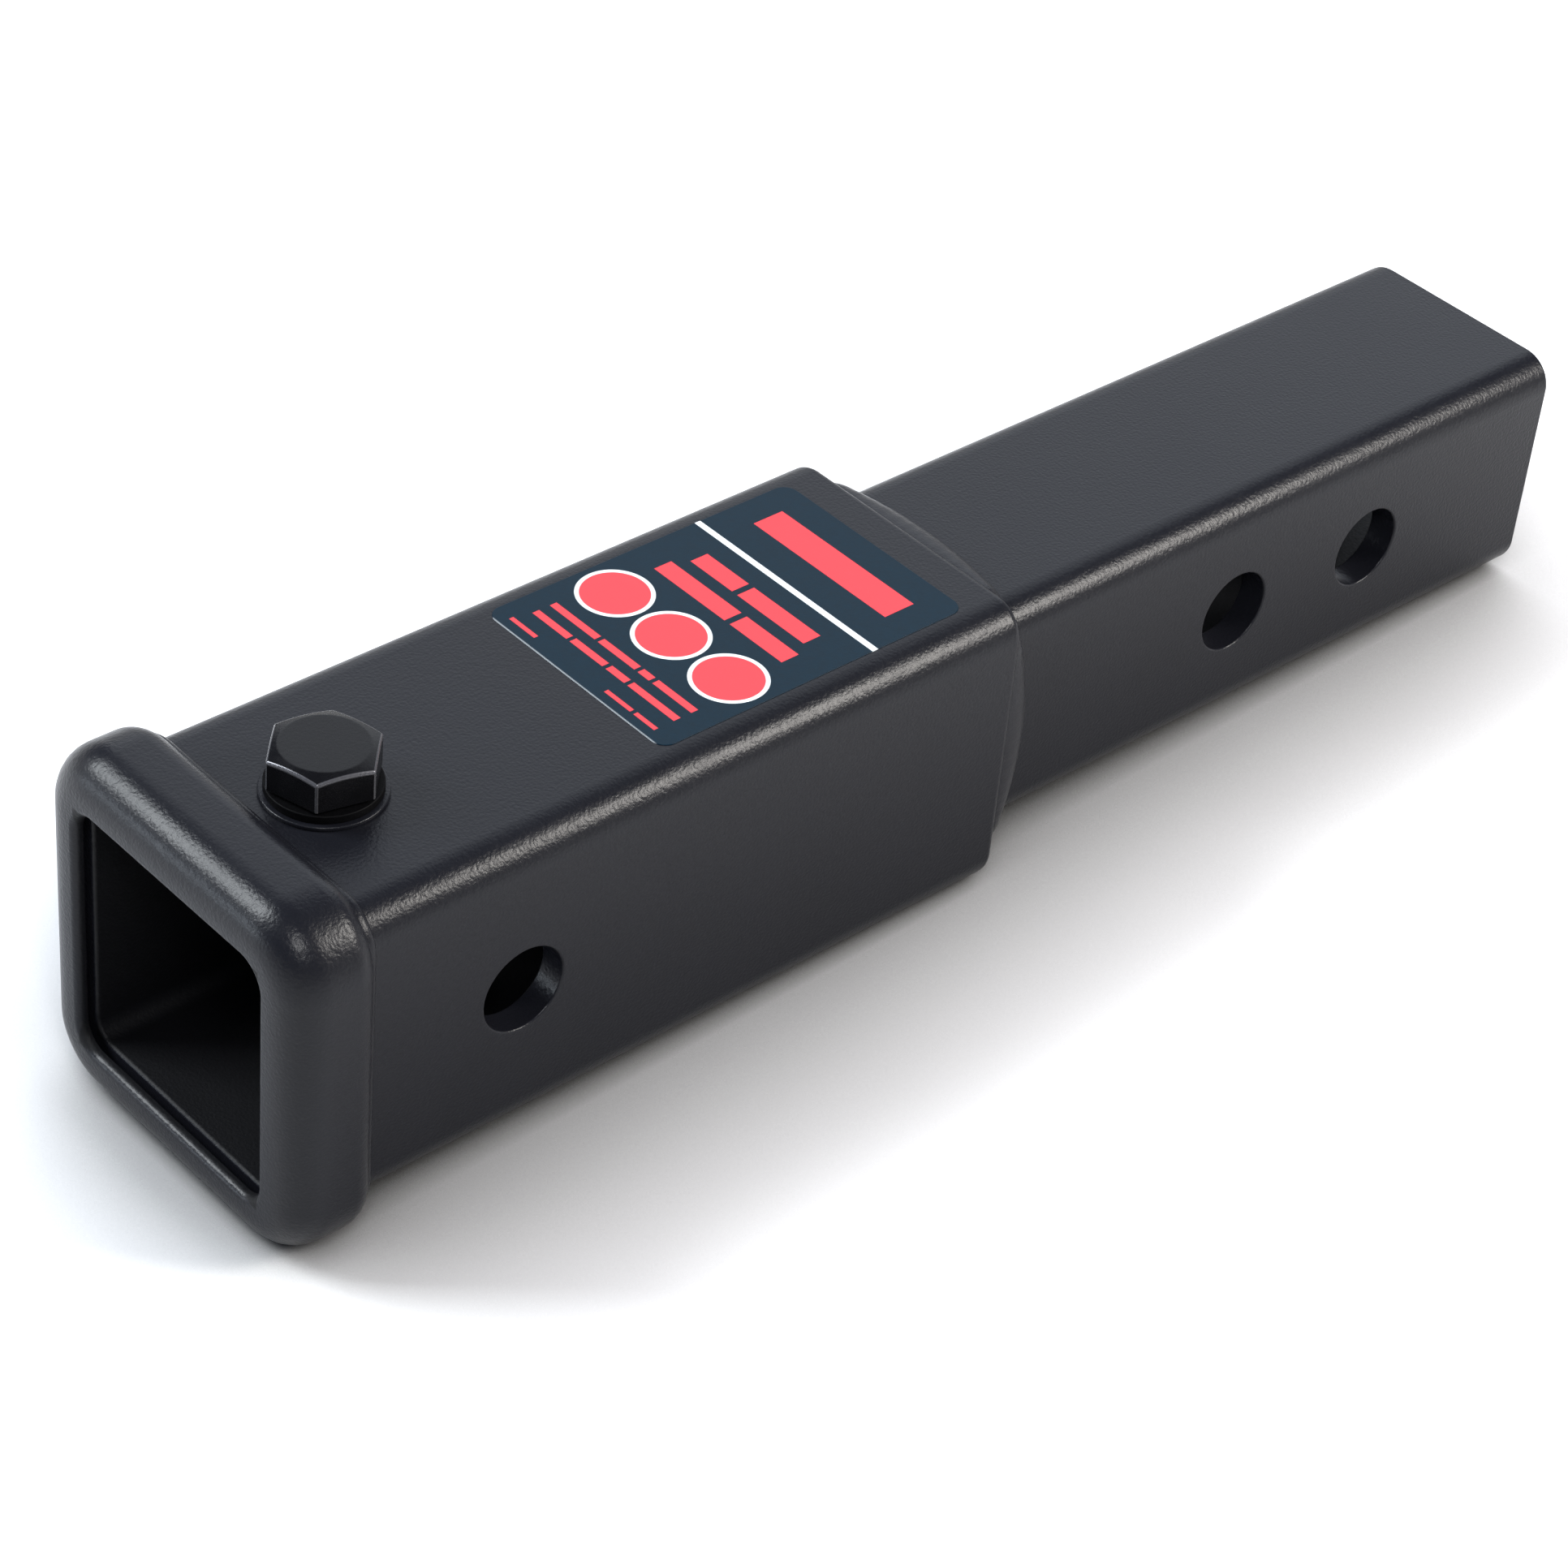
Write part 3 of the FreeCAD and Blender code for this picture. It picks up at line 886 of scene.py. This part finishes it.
def thread_surface(middle, tip, top, bolt):
    """A right-hand helical thread on an upright rod, with a flat at each end.

    The radius falls from the crest by a clipped triangle wave of height / pitch - turn, and is held
    inside the tip's chamfer. Near the top the thread runs out into a neck as wide as its root.
    """
    crest = bolt.thread / 2
    rows = round((top - tip) / bolt.pitch * THREAD_STEPS) + 1
    height = np.linspace(tip, top, rows)[:, None]
    turn = TURN * np.arange(ROUND_STEPS) / ROUND_STEPS
    wave = (height / bolt.pitch - turn / TURN) % 1.0
    depth = np.clip(0.5 + FLANK_SLOPE * (0.5 - np.abs(2 * wave - 1)), 0, 1) * bolt.thread_depth
    radius = np.minimum(crest - depth, crest - bolt.tip_chamfer + (height - tip))
    run_out = np.clip(RUN_OUT_SLOPE * (height - top + bolt.pitch) / bolt.pitch, 0, 1)
    radius = radius + (crest - bolt.thread_depth - radius) * run_out
    points = points_of(middle[0] + radius * np.cos(turn), middle[1] + radius * np.sin(turn), height)
    return grid_surface(points, lids=True)


# The soft bend between the head's flat circle and its crown, and the chamfers of the head's lower
# edge and of the round face under it
CREASE = 0.12 * MM
BASE_CHAMFER = 0.25 * MM
FACE_CHAMFER = 0.1 * MM


def crown_height(places, bolt, top):
    """Height of the head's top over places given from the bolt's axis.

    It is flat inside a circle and slopes down outside: top - slope * (over + sqrt(over ** 2 +
    crease ** 2)) / 2, where over is the distance past the circle.
    """
    over = np.linalg.norm(places, axis=-1) - bolt.flat_diameter / 2
    return top - math.tan(bolt.crown_angle) * (over + np.sqrt(over ** 2 + CREASE ** 2)) / 2


# The evenly divided part of a flat, and the rings on the head's top: in creases from the edge of the
# flat circle, and as shares of its radius
FLAT_SHARE = 0.6
CREASE_RINGS = np.array([2, 1, 0, -1, -2, -4])
CIRCLE_RINGS = np.array([0.85, 0.6, 0.3, 0.02])


def head_surface(middle, bearing, top, bolt):
    """The hexagon head and the round face under it, as rings from the neck out, up and in again.

    The outer rings are a hexagon with rounded corners, which turns into a circle on the crown and
    under the head.
    """
    base = bearing + bolt.washer_face_height
    inner = bolt.across_flats / 2 - bolt.edge_rounding
    blocks = (inner * math.tan(math.pi / 6) * FLAT_SHARE,) * 6
    shoulder = arc(-bolt.crown_rounding, -bolt.crown_rounding, bolt.crown_rounding, 0, 1)
    out = np.concatenate([[-BASE_CHAMFER, 0, 0, 0], shoulder[:, 0]])[:, None]
    hexagon = np.stack(prism_rings(
        np.full_like(out, inner), bolt.edge_rounding + out, blocks, HEXAGON_STEPS), axis=-1)
    under_crown = np.concatenate([
        [0, 0, -bolt.crown_rounding - BASE_CHAMFER, -bolt.crown_rounding], shoulder[:, 1]])
    hexagon_height = crown_height(hexagon, bolt, top) + under_crown[:, None]
    hexagon_height[0] = base
    hexagon_height[1] = base + BASE_CHAMFER

    rim = hexagon[-1]
    circle = rim / np.linalg.norm(rim, axis=-1, keepdims=True)
    radii = np.concatenate([
        bolt.flat_diameter / 2 + CREASE * CREASE_RINGS, bolt.flat_diameter / 2 * CIRCLE_RINGS])
    share = np.linspace(0, 1, CROWN_STEPS + 1)[1:-1, None, None]
    crown = np.concatenate([
        rim * (1 - share) + circle * radii[0] * share, circle * radii[:, None, None]])

    face = bolt.washer_face / 2
    under_radii = np.array([bolt.thread / 2 - bolt.thread_depth, face - FACE_CHAMFER, face, face])
    under = circle * under_radii[:, None, None]
    between = (under[-1:] + hexagon[:1]) / 2
    under_height = np.array([bearing, bearing, bearing + FACE_CHAMFER, base, base])
    rings = np.concatenate([under, between, hexagon, crown])
    height = np.concatenate([
        np.repeat(under_height[:, None], len(circle), axis=1),
        hexagon_height,
        crown_height(crown, bolt, top)])
    x, y = turned(rings[..., 0], rings[..., 1], bolt.head_turn)
    return grid_surface(points_of(middle[0] + x, middle[1] + y, height), lids=True)


# How far in the crown's rounding the highlight is painted, and how exactly the highlighted edges are found
HIGHLIGHT_SHARE = 0.8
RIM_SLACK = 0.05 * MM
CORNER_SLACK = 0.01 * MM
BASE_SLACK = 0.1 * MM


def mark_painted_highlight(mesh, middle, bearing, top, bolt):
    """Writes where a highlight is painted on the head's edges: 1 on the crown's rim and on the upright
    edges.

    A point is on the rim where it lies almost as far out as the flats and no lower than the crown's
    rounding, and on an upright edge where it lies further from the axis than the flats reach.
    """
    places = np.empty(3 * len(mesh.vertices))
    mesh.vertices.foreach_get("co", places)
    across, height = np.split(places.reshape(-1, 3), [2], axis=1)
    across, height = across - middle, height[:, 0]
    flat = bolt.across_flats / 2
    flat_end = math.hypot(flat, (flat - bolt.edge_rounding) * math.tan(math.pi / 6))
    directions = bolt.head_turn + TURN / 6 * np.arange(6)
    offset = (across @ np.stack([np.cos(directions), np.sin(directions)])).max(axis=1)
    rim_height = crown_height(across, bolt, top) - bolt.crown_rounding
    base = bearing + bolt.washer_face_height
    on_rim = (offset > flat - HIGHLIGHT_SHARE * bolt.crown_rounding) & (height > rim_height - RIM_SLACK)
    on_corner = (np.linalg.norm(across, axis=1) > flat_end + CORNER_SLACK) & (height > base + BASE_SLACK)
    painted_highlight = mesh.attributes.new(HIGHLIGHT_ATTRIBUTE, "FLOAT", "POINT")
    painted_highlight.data.foreach_set("value", (on_rim | on_corner).astype(float))


class EXTENDER_OT_bolt(bpy.types.Operator):
    """Make the hexagon bolt with its crowned head and its thread"""
    bl_idname = "extender.bolt"
    bl_label = "Anti-rattle bolt"

    def execute(self, context):
        settings = context.scene.extender
        bolt = settings.bolt
        tip, top = [corner[2] for corner in node_box("anti_rattle_bolt")]
        bearing = node_box("lock_washer")[1][2]
        surfaces = [
            head_surface(bolt_axis(), bearing, top, bolt),
            thread_surface(bolt_axis(), tip, bearing, bolt)]
        steel = steel_material(settings.coat)
        piece = add_piece("Anti_rattle_bolt", surfaces, steel, "bolt", ["anti_rattle_bolt"])
        mark_painted_highlight(piece.data, bolt_axis(), bearing, top, bolt)
        return {"FINISHED"}


# The rounded part of the label's thickness
FILM_ROUNDING = 0.9


class EXTENDER_OT_label(bpy.types.Operator):
    """Make the printed label on the top of the tube"""
    bl_idname = "extender.label"
    bl_label = "Label"

    def execute(self, context):
        settings = context.scene.extender.label
        low, high = node_box("label")
        corner = settings.corner
        edge = (high[2] - low[2]) * FILM_ROUNDING
        profile = np.concatenate([[[corner, low[2]]], arc(corner - edge, high[2] - edge, edge, 0, 1)])
        quarters = np.arange(4)[:, None] + np.arange(CORNER_STEPS + 1) / CORNER_STEPS
        angle = QUARTER * quarters.ravel()
        signs = np.repeat([[1, 1], [-1, 1], [-1, -1], [1, -1]], CORNER_STEPS + 1, axis=0)
        centres = ((low + high) / 2)[:2] + signs * ((high - low) / 2 - corner)[:2]
        points = points_of(
            centres[:, 0] + profile[:, :1] * np.cos(angle),
            centres[:, 1] + profile[:, :1] * np.sin(angle),
            profile[:, 1:])
        film = label_material(settings, low, high)
        add_piece("Label", [grid_surface(points, lids=True)], film, "extender", ["label"])
        return {"FINISHED"}


# Each lamp: name, direction from the object, distance, width and height, radiance, colour
LAMPS = (
    ("Right box", (0.56, -0.61, 0.56), 1.3, (0.42, 0.42), 44.0, (1.0, 0.96, 0.91)),
    ("Left box", (-0.54, 0.57, 0.62), 1.3, (0.46, 0.62), 27.0, (0.92, 0.97, 1.0)),
    ("Left wall", (-0.82, 0.56, 0.08), 1.3, (0.6, 0.16), 12.0, (0.8, 0.9, 1.0)),
    ("Front box", (-0.42, -0.5, 0.72), 1.3, (0.32, 0.32), 28.0, (1.0, 1.0, 1.0)),
    ("Back box", (0.56, 0.56, 0.61), 1.5, (1.5, 1.3), 1.75, (0.9, 0.95, 1.0)),
)

# The place that the lamps face, and the middle of the lit floor
LIT_PLACE = np.array([0.08, 0.0, 0.0])

# The studio: its horizon, its ceiling and the heights between which it turns from one to the other
HORIZON = (1.0, 1.0, 1.0, 1.0)
CEILING = (0.08, 0.1, 0.18, 1.0)
HORIZON_BAND = (0.03, 0.3)

# The floor: half its width, its gap under the object, and its contact shade's power and samples
FLOOR_REACH = 6.0
FLOOR_GAP = 0.2 * MM
CONTACT_POWER = 1.5
CONTACT_SAMPLES = 8


def add_lamp(name, direction, distance, size, radiance, colour):
    """A rectangular soft lamp that faces the lit place.

    Its power is that of an even diffuse emitter: radiance times area times pi.
    """
    lamp = bpy.data.lights.new(name, "AREA")
    lamp.shape = "RECTANGLE"
    lamp.size, lamp.size_y = size
    lamp.energy = radiance * size[0] * size[1] * math.pi
    lamp.color = colour
    holder = bpy.data.objects.new(name, lamp)
    bpy.context.scene.collection.objects.link(holder)
    away = np.array(direction) / np.linalg.norm(direction)
    side = np.cross([0, 0, 1], away)
    side = side / np.linalg.norm(side)
    axes = np.column_stack([side, np.cross(away, side), away, LIT_PLACE + away * distance])
    holder.matrix_world = Matrix(axes.tolist() + [[0, 0, 0, 1]])


def studio_world():
    """A dim blue studio with a pale horizon, blended by the height of the direction."""
    recipe = Recipe(bpy.data.worlds.new("Studio"))
    direction = recipe.node("ShaderNodeTexCoord", output="Generated")
    height = recipe.node("ShaderNodeSeparateXYZ", {}, {0: direction}, output="Z")
    colour = recipe.blend(height.ramp(*HORIZON_BAND), HORIZON, CEILING)
    back = recipe.node("ShaderNodeBackground", {}, {"Color": colour})
    return recipe.surface(back, "ShaderNodeOutputWorld")


def floor_material(settings):
    """A pale floor, shaded near the object's foot, that is seen white away from the object.

    The shade is a power of the ambient occlusion, and the white grows with the distance from the
    lit place, where a camera, glossy or transmission ray meets the floor.
    """
    recipe = Recipe(bpy.data.materials.new("Pale floor"))
    open_sky = recipe.node(
        "ShaderNodeAmbientOcclusion", {"samples": CONTACT_SAMPLES},
        {"Distance": settings.contact_reach}, output="AO")
    colour = recipe.blend(open_sky ** CONTACT_POWER, tinted(settings.floor, 0.0), tinted(settings.floor))
    lit = recipe.node("ShaderNodeBsdfDiffuse", {}, {"Color": colour})
    white = recipe.node("ShaderNodeEmission", {}, {"Color": (1.0, 1.0, 1.0, 1.0), "Strength": 1.0})
    ray = recipe.node("ShaderNodeLightPath", output="Is Camera Ray")
    seen = ray.larger(ray.sibling("Is Glossy Ray")).larger(ray.sibling("Is Transmission Ray"))
    x, y, _ = recipe.axes()
    away = ((x - LIT_PLACE[0]) * (x - LIT_PLACE[0]) + y * y) ** 0.5
    far = away.ramp(settings.lit_floor, 2 * settings.lit_floor)
    return recipe.surface(recipe.node("ShaderNodeMixShader", {}, {0: seen * far, 1: lit, 2: white}))


def add_floor(settings):
    """A wide plane that touches the collar and the tube's rear end from below."""
    collar_low, collar_high = node_box("mouth_collar")
    tube_low, tube_high = node_box("receiver_tube")
    first_x = (collar_low[0] + collar_high[0]) / 2
    slope = (tube_low[2] - collar_low[2]) / (tube_high[0] - first_x)
    points = []
    for x, y in ((-1, -1), (1, -1), (1, 1), (-1, 1)):
        height = collar_low[2] + slope * (x * FLOOR_REACH - first_x) - FLOOR_GAP
        points.append((x * FLOOR_REACH, y * FLOOR_REACH, height))
    mesh = bpy.data.meshes.new("Floor")
    mesh.from_pydata(points, [], [(0, 1, 2, 3)])
    mesh.materials.append(floor_material(settings))
    floor = bpy.data.objects.new("Floor", mesh)
    bpy.context.scene.collection.objects.link(floor)


def add_camera(settings):
    """The camera, turned by its heading, its fall and its roll."""
    data = bpy.data.cameras.new("Camera")
    data.lens = settings.lens
    data.sensor_width = 36.0
    data.clip_start = 10 * MM
    camera = bpy.data.objects.new("Camera", data)
    bpy.context.scene.collection.objects.link(camera)
    aim = (Matrix.Rotation(settings.azimuth - QUARTER, 4, "Z")
           @ Matrix.Rotation(QUARTER - settings.fall, 4, "X")
           @ Matrix.Rotation(settings.roll, 4, "Z"))
    camera.matrix_world = Matrix.Translation(settings.place) @ aim
    bpy.context.scene.camera = camera


class EXTENDER_OT_stage(bpy.types.Operator):
    """Make the floor, the lamps, the world and the camera"""
    bl_idname = "extender.stage"
    bl_label = "Stage"

    def execute(self, context):
        settings = context.scene.extender.stage
        add_floor(settings)
        for name, *values in LAMPS:
            add_lamp(name, *values)
        add_camera(settings)
        context.scene.world = studio_world()
        context.scene.view_settings.view_transform = "Standard"
        return {"FINISHED"}


OPERATORS = (
    EXTENDER_OT_receiver_tube,
    EXTENDER_OT_shank_tube,
    EXTENDER_OT_mouth_collar,
    EXTENDER_OT_collar_weld,
    EXTENDER_OT_shank_welds,
    EXTENDER_OT_washers,
    EXTENDER_OT_bolt,
    EXTENDER_OT_label,
    EXTENDER_OT_stage,
)


class EXTENDER_PT_panel(bpy.types.Panel):
    """Lists the pieces of the extender"""
    bl_idname = "EXTENDER_PT_panel"
    bl_label = "Hitch receiver extender"
    bl_space_type = "VIEW_3D"
    bl_region_type = "UI"
    bl_category = "Extender"

    def draw(self, context):
        for operator in OPERATORS:
            self.layout.operator(operator.bl_idname)


GROUPS = (
    TubeSettings,
    CollarSettings,
    WeldSettings,
    BoltSettings,
    WasherSettings,
    CoatSettings,
    LabelSettings,
    StageSettings,
    ExtenderSettings,
)
CLASSES = GROUPS + OPERATORS + (EXTENDER_PT_panel,)


def register():
    for kind in CLASSES:
        bpy.utils.register_class(kind)
    bpy.types.Scene.extender = PointerProperty(type=ExtenderSettings)


def unregister():
    del bpy.types.Scene.extender
    for kind in reversed(CLASSES):
        bpy.utils.unregister_class(kind)


def main():
    """Makes every piece in order."""
    register()
    bpy.ops.extender.receiver_tube()
    bpy.ops.extender.shank_tube()
    bpy.ops.extender.mouth_collar()
    bpy.ops.extender.collar_weld()
    bpy.ops.extender.shank_welds()
    bpy.ops.extender.washers()
    bpy.ops.extender.bolt()
    bpy.ops.extender.label()
    bpy.ops.extender.stage()
    bpy.context.view_layer.update()


if __name__ == "__main__":
    main()
